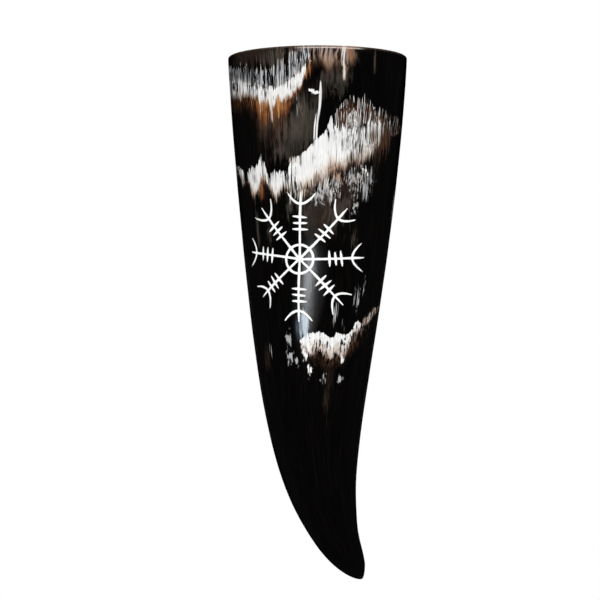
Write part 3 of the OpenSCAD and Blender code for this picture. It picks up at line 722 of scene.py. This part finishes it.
figure = {  # of the natural horn, in degrees from the front and mm from the rim
    "black": (0.0008, 0.0007, 0.0007, 1), "umber": (0.014, 0.0085, 0.006, 1),
    "bark": (0.022, 0.0145, 0.0105, 1), "smoke": (0.066, 0.055, 0.043, 1), "brown": (0.08, 0.038, 0.022, 1),
    "orange": (0.29, 0.105, 0.035, 1), "amber": (0.52, 0.26, 0.1, 1), "paintedHighlightEdge": (0.06, 0.075, 0.1, 1),
    "tan": (0.4, 0.26, 0.18, 1), "pink": (0.34, 0.245, 0.215, 1), "shell": (0.62, 0.51, 0.46, 1),
    "bone": (0.66, 0.62, 0.58, 1), "cream": (0.76, 0.67, 0.59, 1), "white": (0.92, 0.9, 0.88, 1),
    "grey": (0.47, 0.465, 0.46, 1), "veil": (0.36, 0.375, 0.4, 1), "paintedHighlight": (0.5, 0.56, 0.62, 1),
    "slate": (0.055, 0.056, 0.06, 1), "ash": (0.56, 0.565, 0.575, 1),
    "fibres": {  # width in mm and stretch
        "hair": (0.38, 55.0), "broad": (1.2, 14.0), "wisps": (0.27, 90.0), "tufts": (4.0, 2.0),
        "clumps": (5.5, 1.7), "grains": (0.9, 2.4), "lace": (1.15, 1.9),
    },
    "grits": {  # shares of the fibres in what breaks up an edge
        "streak": {"hair": 0.45, "broad": 0.35, "tufts": 0.2},
        "fine": {"wisps": 0.3, "hair": 0.35, "broad": 0.25, "tufts": 0.1},
        "thread": {"wisps": 0.58, "hair": 0.42},
        "speck": {"grains": 0.5, "hair": 0.2, "broad": 0.3},
        "lace": {"lace": 0.5, "grains": 0.25, "wisps": 0.25},
        "drip": {"lace": 0.3, "grains": 0.15, "hair": 0.25, "wisps": 0.3},
        "soft": {"tufts": 0.4, "broad": 0.35, "hair": 0.25},
    },
    "hint": 0.18, "hairShade": 0.72, "patchRagged": 0.6, "thickest": 0.82, "softer": 3.0,
    "thinOut": (0.8, 4.0), "softFrom": (0.45, 0.9), "clearFrom": (0.5, 0.7), "contrast": (0.2, 0.8),
    "drift": 22.0, "driftScale": 0.07, "driftTurn": (75.0, 115.0),
    "spans": [(-10, 230), (-10, 230), (0, 2), (0, 10)],  # what the last four columns of the edges lie in
    "bands": [  # edges, feather, softness, grit, clumps, cloud; across: share of the way down, colour, cover
        (smokeEdges, 9.0, 0.5, "soft", 0.2, 0.0, [  # smoky ground between the upper two bands
            (0.0, "bark", 0.0), (0.3, "smoke", 0.6), (0.5, "smoke", 0.9), (0.65, "smoke", 0.8),
            (0.85, "smoke", 0.5), (1.0, "bark", 0.0),
        ]),
        (rimEdges, 3.0, 0.24, "fine", 0.3, 0.0, [  # streaks at the rim
            (0.0, "pink", 0.85), (0.35, "pink", 0.78), (0.6, "tan", 0.6), (0.8, "brown", 0.55),
            (1.0, "umber", 0.0),
        ]),
        (strandEdges, 2.0, 0.4, "soft", 0.3, 0.0, [  # slate haze under the rim on the left
            (0.0, "slate", 0.0), (0.15, "slate", 0.7), (0.8, "slate", 0.8), (1.0, "slate", 0.0),
        ]),
        (strandEdges, 1.0, 0.09, "thread", 0.3, 0.0, [  # the thin pale strands in it
            (0.0, "bone", 0.0), (0.06, "bone", 0.52), (0.25, "ash", 0.58), (0.6, "ash", 0.62),
            (0.85, "bone", 0.72), (0.97, "white", 0.88), (1.0, "white", 0.0),
        ]),
        (amberEdges, 7.0, 0.34, "fine", 0.4, 0.0, [  # amber below it
            (0.0, "orange", 0.0), (0.08, "orange", 1.05), (0.55, "orange", 0.95), (0.78, "brown", 0.8),
            (1.0, "umber", 0.0),
        ]),
        (amberEdges, 8.0, 0.12, "thread", 0.5, 0.0, [  # the bright strands in the amber
            (0.0, "cream", 0.0), (0.1, "cream", 0.5), (0.4, "amber", 0.46), (0.75, "orange", 0.36),
            (1.0, "orange", 0.0),
        ]),
        (upperEdges, 4.5, 0.11, "fine", 0.25, 0.08, [  # the upper white band, crisp near the rim
            (0.0, "white", 0.0), (0.05, "white", 0.6), (0.25, "white", 0.92), (0.66, "white", 0.98),
            (0.8, "cream", 0.84), (0.91, "tan", 0.6), (1.0, "orange", 0.0),
        ]),
        (furEdges, 1.0, 0.3, "streak", 0.2, 0.0, [  # brown fur above the wide band, on the right
            (0.0, "umber", 0.0), (0.12, "bark", 0.8), (0.4, "brown", 0.9), (0.95, "brown", 1.0),
            (1.0, "brown", 0.0),
        ]),
        (furEdges, 1.0, 0.09, "thread", 0.25, 0.0, [  # the white hairs in the fur
            (0.0, "white", 0.0), (0.05, "white", 0.27), (0.5, "white", 0.35), (0.95, "white", 0.52),
            (1.0, "white", 0.0),
        ]),
        (brownEdges, 6.0, 0.2, "fine", 0.5, 0.0, [  # brown below the wide band
            (0.0, "tan", 0.0), (0.06, "tan", 0.85), (0.25, "brown", 0.76), (0.5, "bark", 0.66),
            (1.0, "umber", 0.0),
        ]),
        (wideEdges, 6.0, 0.15, "streak", 0.15, 0.2, [  # the wide white band above the star
            (0.0, "white", 0.0), (0.03, "white", 0.7), (0.15, "white", 0.92), (0.58, "white", 0.98),
            (0.74, "cream", 0.82), (0.88, "tan", 0.58), (1.0, "brown", 0.0),
        ]),
        (underEdges, 2.5, 0.3, "speck", 0.4, 0.0, [  # brown under the band below the star
            (0.0, "pink", 0.0), (0.1, "pink", 0.62), (0.4, "brown", 0.7), (1.0, "umber", 0.0),
        ]),
        (lowerEdges, 1.5, 0.14, "speck", 0.2, 0.15, [  # the white band below the star
            (0.0, "white", 0.0), (0.04, "white", 0.9), (0.12, "white", 1.0), (0.35, "white", 0.9),
            (0.52, "cream", 0.82), (0.8, "shell", 0.66), (1.0, "brown", 0.0),
        ]),
        (backEdges, 3.0, 0.14, "streak", 0.3, 0.0, [  # on the back only
            (0.0, "grey", 0.0), (0.15, "grey", 0.5), (0.35, "white", 0.85), (0.55, "cream", 0.75),
            (0.7, "orange", 0.55), (1.0, "umber", 0.0),
        ]),
    ],
    "patchSoft": {  # the usual softness of a patch
        "streak": 0.3, "fine": 0.3, "thread": 0.1, "speck": 0.2, "lace": 0.16, "drip": 0.2, "soft": 0.4,
    },
    "under": [  # patches below the bands: turn, along, their halves, colour, strength, grit, own softness
        (-34, 34, 15, 14, "bark", 1.0, "soft"), (-26, 31, 9, 12, "brown", 0.52, "fine", 0.25),
        (-42, 3, 32, 7, "bark", 0.85, "soft"), (-30, 37, 13, 12, "smoke", 0.42, "soft"),
        (-26, 4, 18, 7, "smoke", 0.62, "fine"), (38, 5, 1.3, 6.5, "smoke", 0.75, "soft"),
        (16, 58, 22, 10, "bark", 0.9, "soft"), (5, 60, 14, 8, "smoke", 0.5, "soft"),
        (34, 54, 12, 8, "smoke", 0.45, "soft"), (4, 69, 26, 11, "bark", 0.85, "soft"),
        (17, 66, 15, 9, "smoke", 0.46, "soft"), (-15, 62, 14, 9, "smoke", 0.42, "soft"),
        (14, 140, 7, 14, "bark", 0.6, "soft"), (-51, 127, 6, 7, "bark", 0.8, "soft"),
        (130, 58, 38, 22, "smoke", 0.5, "soft"), (-140, 68, 36, 22, "smoke", 0.5, "soft"),
        (170, 112, 34, 22, "bark", 0.66, "fine"), (95, 92, 26, 22, "bark", 0.6, "fine"),
        (-95, 100, 28, 26, "bark", 0.6, "fine"), (-120, 30, 34, 16, "smoke", 0.5, "soft"),
    ],
    "over": [  # and above them
        (-50, 73, 3, 9, "smoke", 0.5, "fine", 0.25), (-38, 76, 4, 8, "smoke", 0.4, "fine", 0.25),
        (30, 76, 5, 9, "smoke", 0.4, "fine", 0.25), (14, 67, 9, 8, "smoke", 0.45, "fine"),
        (16, 4, 1.8, 11, "cream", 0.95, "fine", 0.35), (20, 2, 3.0, 8, "orange", 0.55, "fine"),
        (-43, 58, 3.5, 4.8, "orange", 0.6, "fine", 0.32), (-31.4, 24.5, 1.0, 8, "cream", 1.0, "fine", 0.4),
        (-40.6, 18, 1.2, 7, "white", 0.85, "fine"), (-26.2, 23, 1.5, 5, "amber", 0.75, "fine"),
        (-36, 25, 3, 7, "orange", 0.5, "fine", 0.34), (45, 42, 7, 10, "bark", 0.55, "fine", 0.25),
        (41, 35, 10, 8, "tan", 0.5, "thread", 0.13), (33, 41, 10, 6, "cream", 0.48, "thread", 0.18),
        (43, 34, 13, 10, "umber", 0.37, "thread"), (24, 47, 12, 4, "umber", 0.44, "thread"),
        (27, 39, 13, 11, "bark", 0.37, "thread", 0.12), (52, 36, 9, 9, "bark", 0.75, "fine"),
        (51, 37, 10, 9, "brown", 0.5, "thread", 0.16), (-13, 26, 1.6, 9, "grey", 0.26, "fine"),
        (-10.5, 25, 1.2, 8, "tan", 0.26, "fine"), (-16, 46, 4, 1.8, "cream", 0.7, "fine", 0.4),
        (-4.3, 18.2, 2.6, 0.8, "white", 1.5, "fine", 0.2), (-1.7, 19.0, 2.6, 0.9, "white", 1.5, "fine", 0.2),
        # painted highlight: a pale bluish glow below the star and its dim bluish edge, where the softbox is
        # reflected
        (-13, 112.5, 7, 6, "paintedHighlightEdge", 0.75, "soft", 0.6), (-9.5, 112.5, 4.5, 6, "paintedHighlight", 1.0, "soft", 0.6),
        (51, 111.2, 5, 2.4, "tan", 0.66, "fine"), (57, 109.4, 5, 2.4, "shell", 0.55, "fine"),
        (64, 107.2, 6, 2.6, "tan", 0.58, "fine"), (-9, 124.6, 4, 4, "white", 0.62, "lace"),
        (-5, 121.5, 4, 3.5, "white", 0.6, "lace"), (23, 52.6, 8, 4.5, "grey", 0.5, "drip"),
        (13, 52.4, 8, 3.5, "tan", 0.54, "drip"), (38, 52, 5, 5, "grey", 0.5, "drip"),
        (6, 58, 10, 7, "grey", 0.5, "drip"), (1, 61, 8, 5, "grey", 0.44, "lace", 0.2),
        (12, 55, 8, 5, "grey", 0.48, "drip"), (8, 57, 11, 7, "bone", 0.42, "thread"),
        (19, 54, 7, 4, "pink", 0.44, "drip"), (29, 54, 8, 6.5, "bone", 0.54, "drip", 0.16),
        (35, 49.7, 6, 3.6, "white", 0.5, "lace", 0.14), (28, 58, 6, 4.5, "grey", 0.5, "drip", 0.18),
        (28, 65, 4, 4, "grey", 0.5, "lace", 0.18), (37, 55, 9, 8, "grey", 0.36, "thread"),
        (-15, 60, 10, 4.5, "bone", 0.48, "fine", 0.16), (-24, 118.6, 4, 4.5, "grey", 0.62, "lace", 0.2),
        (-24, 126.3, 5, 4.5, "grey", 0.6, "lace"), (-17, 128, 3, 3, "grey", 0.5, "lace"),
        (-4, 130.6, 4, 4.5, "white", 0.58, "lace", 0.14), (9, 134.5, 4, 3, "grey", 0.55, "lace"),
        (27, 135, 4, 3, "grey", 0.55, "lace"), (27, 126.5, 4, 2.5, "white", 0.55, "lace", 0.14),
        (-46, 123.4, 2.5, 4, "grey", 0.42, "fine", 0.15), (18, 108.5, 3, 7, "grey", 0.4, "fine", 0.15),
        (25, 112.6, 2.5, 4, "grey", 0.38, "fine", 0.15), (35, 102, 2.2, 6, "grey", 0.48, "fine", 0.14),
        (39, 101.5, 2.5, 7, "grey", 0.52, "fine", 0.14), (44, 96, 2, 5, "grey", 0.42, "fine", 0.14),
        (150, 30, 20, 9, "brown", 0.6, "streak"), (-150, 110, 18, 9, "brown", 0.5, "streak"),
        (160, 101, 22, 4, "grey", 0.44, "fine", 0.14), (-122, 103, 9, 7, "pink", 0.46, "speck"),
        (112, 124, 8, 7, "pink", 0.44, "speck"), (-100, 78, 9, 9, "grey", 0.46, "fine", 0.15),
        (82, 62, 9, 10, "grey", 0.44, "fine", 0.15), (-160, 147, 10, 12, "smoke", 0.6, "soft"),
    ],
    # rim: a paler worn lip and a cream line along it, both partly a painted highlight on the lip
    "rim": {"wornLipAndSheen": (0.3, 1.1), "turn": 8.0, "fade": (14.0, 24.0), "line": 0.95, "sheenLineFade": (0.1, 0.35)},
    "vein": {  # a white thread that splits in two lower down: shift, start, width above and below
        "span": (15.0, 37.5), "path": [(0.0, 0.57), (0.4, 0.55), (0.7, 0.48), (1.0, 0.45)], "swing": 20.0,
        "threads": [(0.0, 14.0, 1.05, 0.5), (1.5, 27.0, 0.6, 0.5)], "thinAt": 34.0, "end": (37.0, 38.5),
    },
    "roughness": 0.24, "polishRough": 0.12, "paleRough": 0.18,
    "gloss": 0.022, "glossFade": (0.35, 0.85), "coatRoughness": 0.2,
    "relief": {"hair": 0.3, "tufts": 2.5, "polish": 0.5, "strength": 0.12, "depth": 0.0001},
    "rub": {  # rubbed brighter on the belly
        "turn": -5.0, "along": 101.0, "lean": -0.27, "halfTurn": 15.0, "halfAlong": 25.0, "gloss": 0.31,
    },
}


def makeHornFinish(fibres, polish, fleck):
    material, shader, place = newMaterial("polishedHorn")
    tree = material.node_tree
    east, rear, along = splitPlace(place)
    turn = calc("ARCTAN2", east, times(rear, -1.0))
    degrees = times(turn, 180 / math.pi)
    turn01 = plus(times(turn, 0.5 / math.pi), 0.5)
    grain = {
        name: placeGroup(fibres, Place=place, Width=width, Stretch=stretch)["Streak"]
        for name, (width, stretch) in figure["fibres"].items()
    }
    hair, broad, wisps, tufts, clumps = [grain[name] for name in "hair broad wisps tufts clumps".split()]
    grit = {}
    for kind, shares in figure["grits"].items():
        total = 0.0
        for name, share in shares.items():
            total = plus(times(grain[name], share), total)
        grit[kind] = remap(total, *figure["contrast"])
    hint = times(remap(broad, 0.45, 1.0), figure["hint"])
    colour = mixColour(hint, figure["black"], figure["umber"])

    def addPatch(colour, spot):
        turnAt, alongAt, halfTurn, halfAlong, paint, strength, kind, *own = spot
        aside = calc("WRAP", minus(degrees, turnAt), 180.0, -180.0)
        ragged = times(minus(broad, 0.5), halfAlong * figure["patchRagged"])
        down = plus(minus(along, alongAt), ragged)
        mask = placeGroup(fleck, **{
            "Turn": aside, "Along": down, "Half turn": halfTurn, "Half along": halfAlong,
            "Grit": grit[kind], "Strength": strength, "Soft": own[0] if own else figure["patchSoft"][kind],
        })["Mask"]
        return mixColour(mask, colour, figure[paint])

    for spot in figure["under"]:
        colour = addPatch(colour, spot)
    drift = minus(noiseOf(place, figure["driftScale"])[0], 0.5)  # the bands wander more on the back
    behind = remap(calc("ABSOLUTE", degrees), *figure["driftTurn"], 0.0, figure["drift"], smooth=True)
    warped = plus(along, times(drift, behind))
    startAt = minus(plus(hair, broad), 1.0)  # each fibre starts and ends in its own place
    endAt = minus(plus(wisps, broad), 1.0)
    pale = 0.0
    for edges, feather, soft, kind, clump, cloud, stops in figure["bands"]:
        edges = edges + [(180, *edges[0][1:])]  # closed at the back
        top, low, dense, ragged = [
            edgeCurve(turn01, [(edge[0], edge[k]) for edge in edges], *span)
            for k, span in enumerate(figure["spans"], 1)
        ]
        thick = remap(minus(low, top), *figure["thinOut"], 0.0, figure["thickest"])
        top = plus(top, times(startAt, ragged))
        low = plus(low, times(endAt, feather))
        depth = plugAll(addNode(tree, "MapRange", clamp=False), warped, top, low)
        across = addNode(tree, "ValToRGB")
        ramp = across.color_ramp
        while len(ramp.elements) < len(stops):
            ramp.elements.new(0.5)
        for element, (spot, paint, cover) in zip(ramp.elements, stops):
            element.position = spot
            element.color = (*figure[paint][:3], cover)
        plug(depth, across.inputs[0])
        dense = times(dense, remap(clumps, *figure["contrast"], 1 - clump, 1 + clump / 2))
        cover = times(times(across.outputs[1], thick), dense)
        soft = remap(depth, *figure["softFrom"], soft, soft * figure["softer"])  # crisp above, soft below
        mask = gritMask(cover, grit[kind], soft, 0.15)
        clouded = mixColour(times(tufts, cloud), across.outputs[0], figure["veil"])
        clouded = mixColour(remap(depth, *figure["clearFrom"]), clouded, across.outputs[0])
        colour = mixColour(mask, colour, clouded)
        pale = calc("MAXIMUM", pale, mask)
    for spot in figure["over"]:
        colour = addPatch(colour, spot)

    rim = figure["rim"]
    # the lip is paler where worn and partly a painted highlight, strongest on the front
    wornLipAndSheen = remap(along, *rim["wornLipAndSheen"], 1.0, 0.0, smooth=True)
    wornLipAndSheen = times(wornLipAndSheen, remap(tufts, *figure["contrast"], 0.2, 0.9))
    off = calc("ABSOLUTE", minus(degrees, rim["turn"]))
    rimSide = remap(off, *rim["fade"], 1.0, 0.3, smooth=True)
    colour = mixColour(times(wornLipAndSheen, rimSide), colour, figure["tan"])
    # a thin cream line along the lip: a painted highlight on its paler edge
    off = calc("ABSOLUTE", minus(along, rim["line"]))
    line = remap(off, *rim["sheenLineFade"], 1.0, 0.0, smooth=True)
    line = times(line, remap(rimSide, 0.3, 1.0, 0.0, 0.85))
    line = times(line, remap(broad, 0.1, 0.6, 0.4, 1.0))
    colour = mixColour(line, colour, figure["cream"])
    vein = figure["vein"]
    path = minus(curveOf(remap(along, *vein["span"]), vein["path"]), 0.5)
    aside = minus(degrees, times(path, vein["swing"]))
    for shift, start, wide, thin in vein["threads"]:
        far = calc("ABSOLUTE", plus(aside, shift))
        width = remap(along, start, vein["thinAt"], wide, thin)
        width = times(width, remap(along, start, start + 5.0, 0.2, 1.0))
        thread = remap(calc("DIVIDE", far, width), 0.6, 1.3, 1.0, 0.0, smooth=True)
        thread = times(thread, remap(along, start, start + 1.0))
        thread = times(thread, remap(along, *vein["end"], 1.0, 0.0))
        thread = times(thread, remap(hair, 0.2, 1.0, 1.0, 0.8))
        colour = mixColour(thread, colour, figure["white"])
    shade = remap(hair, 0.0, 1.0, 1.0, figure["hairShade"])
    tone = plugAll(addNode(tree, "CombineColor"), shade, shade, shade)
    plug(mixColour(1.0, colour, tone, "MULTIPLY"), shader.inputs["Base Color"])

    marks = placeGroup(polish, Place=place, Amount=1.0)
    rough = plus(times(marks["Roughness"], figure["polishRough"]), times(pale, figure["paleRough"]))
    plug(plus(rough, figure["roughness"]), shader.inputs["Roughness"])
    relief = figure["relief"]
    ripple = plus(times(hair, relief["hair"]), times(tufts, relief["tufts"]))
    height = plus(ripple, times(marks["Height"], relief["polish"]))
    plug(addBump(shader, height, relief["strength"], relief["depth"]), shader.inputs["Coat Normal"])
    rub = figure["rub"]
    down = minus(along, rub["along"])
    aside = minus(minus(degrees, rub["turn"]), times(down, rub["lean"]))
    away = []
    for way, half in ((aside, rub["halfTurn"]), (down, rub["halfAlong"])):
        share = calc("DIVIDE", way, half)
        away.append(times(share, share))
    polished = remap(plus(*away), 0.1, 1.0, rub["gloss"], figure["gloss"], smooth=True)
    facing = addNode(tree, "LayerWeight")
    facing.inputs["Blend"].default_value = 0.5
    fade = remap(facing.outputs["Facing"], *figure["glossFade"], 1.0, 0.0, smooth=True)
    plug(times(polished, fade), shader.inputs["Coat Weight"])
    shader.inputs["Coat Roughness"].default_value = figure["coatRoughness"]
    shader.inputs["Specular IOR Level"].default_value = 0.0
    return material


coatLook = {
    "dark": (0.13, 0.060, 0.022, 1), "light": (0.46, 0.27, 0.105, 1), "line": (0.05, 0.026, 0.012, 1),
    # rim: the colour of a painted glow near the rim of the hollow
    "rim": (0.56, 0.37, 0.18, 1), "deep": (0.06, 0.028, 0.011, 1),
    "broad": (3.0, 12.0), "hair": (0.5, 60.0), "mottle": 0.07,  # fibres: width and stretch
    "tones": (0.3, 0.7), "lines": (0.5, 0.95), "lineShare": 0.45,
    "glow": (1.0, 16.0), "paintedGlowShare": 0.5, "deepen": (20.0, 150.0), "deepest": 0.8,  # mm from the rim
    "roughness": 0.12, "polishRough": 0.22, "specular": 0.22,
    "relief": {"broad": 1.2, "hair": 0.15, "polish": 0.15, "strength": 0.3, "depth": 0.0002},
}


def makeCoatFinish(fibres, polish):
    material, shader, place = newMaterial("amberSeal")
    along = splitPlace(place)[2]
    broad, hair = [
        placeGroup(fibres, Place=place, Width=width, Stretch=stretch)["Streak"]
        for width, stretch in (coatLook["broad"], coatLook["hair"])
    ]
    mottle = noiseOf(place, coatLook["mottle"], 3.0)[0]
    tone = plus(times(broad, 0.45), times(mottle, 0.55))
    colour = mixColour(remap(tone, *coatLook["tones"]), coatLook["dark"], coatLook["light"])
    lines = times(remap(hair, *coatLook["lines"]), coatLook["lineShare"])
    colour = mixColour(lines, colour, coatLook["line"])
    top = times(remap(along, *coatLook["glow"], 1.0, 0.0, smooth=True), coatLook["paintedGlowShare"])
    colour = mixColour(top, colour, coatLook["rim"])  # painted glow: lighter near the rim, as if light came through the thin wall here
    deep = remap(along, *coatLook["deepen"], 0.0, coatLook["deepest"])
    plug(mixColour(deep, colour, coatLook["deep"]), shader.inputs["Base Color"])
    marks = placeGroup(polish, Place=place, Amount=1.0)
    rough = plus(times(marks["Roughness"], coatLook["polishRough"]), coatLook["roughness"])
    plug(rough, shader.inputs["Roughness"])
    relief = coatLook["relief"]
    runs = plus(times(broad, relief["broad"]), times(hair, relief["hair"]))
    height = plus(runs, times(marks["Height"], relief["polish"]))
    addBump(shader, height, relief["strength"], relief["depth"])
    shader.inputs["Specular IOR Level"].default_value = coatLook["specular"]
    return material


fillLook = {
    "shade": (0.86, 0.85, 0.83, 1), "light": (0.96, 0.955, 0.945, 1), "scale": 1.6, "tones": (0.35, 0.6),
    "roughness": (0.62, 0.8), "specular": 0.25, "relief": {"strength": 0.35, "distance": 0.0001},
}


def makeFillFinish():
    material, shader, place = newMaterial("whiteFill")
    chalk = noiseOf(place, fillLook["scale"], 5.0)[0]
    colour = mixColour(remap(chalk, *fillLook["tones"]), fillLook["shade"], fillLook["light"])
    plug(colour, shader.inputs["Base Color"])
    plug(remap(chalk, 0.3, 0.7, *fillLook["roughness"]), shader.inputs["Roughness"])
    addBump(shader, chalk, **fillLook["relief"])
    shader.inputs["Specular IOR Level"].default_value = fillLook["specular"]
    return material


shell, fill = buildHorn()
lining = buildCoat()
print("horn, fill and coat built:", [len(p.data.polygons) for p in (shell, fill, lining)], "faces")

fibres, polish, fleck = makeFibres(), makePolish(), makeFleck()
for piece, finish, node, slotName in (
    (shell, makeHornFinish(fibres, polish, fleck), "horn_shell", "horn"),
    (fill, makeFillFinish(), "engraving_fill", "fill"),
    (lining, makeCoatFinish(fibres, polish), "sealing_coat", "coat"),
):
    piece.data.materials.append(finish)
    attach(piece, "root")
    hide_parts(node)
print("finishes made and pieces set on the frame")

view = {"place": (-0.0068, -0.7002, -0.0309), "lens": 98.76}
cameraData = bpy.data.cameras.new("photoView")
cameraData.lens, cameraData.sensor_width = view["lens"], 36.0
camera = addObject("photoView", cameraData)
camera.location, camera.rotation_euler = view["place"], (math.radians(90), 0, 0)
bpy.context.scene.camera = camera

studio = {
    "surround": 0.52, "floorDrop": 0.04, "floorHalf": 9, "floorWhite": 0.62, "shadowReach": (0.05, 0.2),
    "lamps": [  # name, place, what it looks at, width, height, tilt, watts, colour
        ("softbox", (-0.125, -0.57, -0.165), (0, 0, -0.03), 0.22, 0.055, 33, 2.3, (0.93, 0.97, 1)),
        ("sideLight", (0.75, -0.55, 0.45), (0, 0, -0.03), 0.5, 0.5, 0, 1.9, (1, 1, 1)),
        ("topLight", (-0.3, 0.35, 0.9), (0, 0, 0), 0.6, 0.6, 0, 2.0, (1, 1, 1)),
        ("backLeft", (-0.26, 0.55, -0.1), (0, 0, -0.02), 0.05, 0.2, 0, 1.3, (1, 1, 1)),
        ("backRight", (0.26, 0.55, -0.1), (0, 0, -0.02), 0.05, 0.2, 0, 1.3, (1, 1, 1)),
    ],
}


def lookAt(item, target):
    way = np.array(target) - np.array(item.location)
    flat = math.hypot(way[0], way[1])
    item.rotation_euler = (math.atan2(flat, -way[2]), 0, math.atan2(way[1], way[0]) - math.pi / 2)


for name, place, target, width, height, tilt, watts, tint in studio["lamps"]:
    data = bpy.data.lights.new(name, "AREA")
    data.shape, data.size, data.size_y, data.energy = "RECTANGLE", width, height, watts
    data.color = tint
    lamp = addObject(name, data)
    lamp.location = place
    lookAt(lamp, target)
    lamp.rotation_euler.rotate_axis("Z", math.radians(tilt))


def seenDirectly(tree):  # 1 for what the camera, a reflection or glass looks at
    path = addNode(tree, "LightPath")
    glossy = calc("MAXIMUM", path.outputs["Is Glossy Ray"], path.outputs["Is Transmission Ray"])
    return calc("MAXIMUM", path.outputs["Is Camera Ray"], glossy)


world = bpy.data.worlds.new("studio")
bpy.context.scene.world = world
world.use_nodes = True
tree = world.node_tree
sky = next(n for n in tree.nodes if n.type == "BACKGROUND")
sky.inputs["Color"].default_value = (1, 1, 1, 1)
plug(remap(seenDirectly(tree), 0, 1, studio["surround"], 1.0), sky.inputs["Strength"])

level, reach = cadBox[0][2] - studio["floorDrop"], studio["floorHalf"]
corners = [(x * reach, y * reach, level) for x, y in ((-1, -1), (1, -1), (1, 1), (-1, 1))]
floorMesh = bpy.data.meshes.new("floor")
floorMesh.from_pydata(corners, [], [(0, 1, 2, 3)])
floor = addObject("floor", floorMesh)
paper = bpy.data.materials.new("paper")
paper.use_nodes = True
tree = paper.node_tree
surface = next(n for n in tree.nodes if n.type == "BSDF_PRINCIPLED")
surface.inputs["Base Color"].default_value = (0.9, 0.9, 0.9, 1)
surface.inputs["Roughness"].default_value = 0.9
glow = addNode(tree, "Emission")
spot = addNode(tree, "SeparateXYZ")
tree.links.new(addNode(tree, "NewGeometry").outputs["Position"], spot.inputs[0])
squares = [times(spot.outputs[k], spot.outputs[k]) for k in range(2)]
far = calc("SQRT", plus(*squares))
white = remap(far, *studio["shadowReach"], studio["floorWhite"], 1.0, smooth=True)
both = addNode(tree, "MixShader")  # white further off, and the shadow below the horn
plug(times(seenDirectly(tree), white), both.inputs[0])
tree.links.new(surface.outputs[0], both.inputs[1])
tree.links.new(glow.outputs[0], both.inputs[2])
tree.links.new(both.outputs[0], next(n for n in tree.nodes if n.type == "OUTPUT_MATERIAL").inputs[0])
floorMesh.materials.append(paper)

bpy.context.scene.view_settings.view_transform = "Standard"
print("camera, light and floor set")
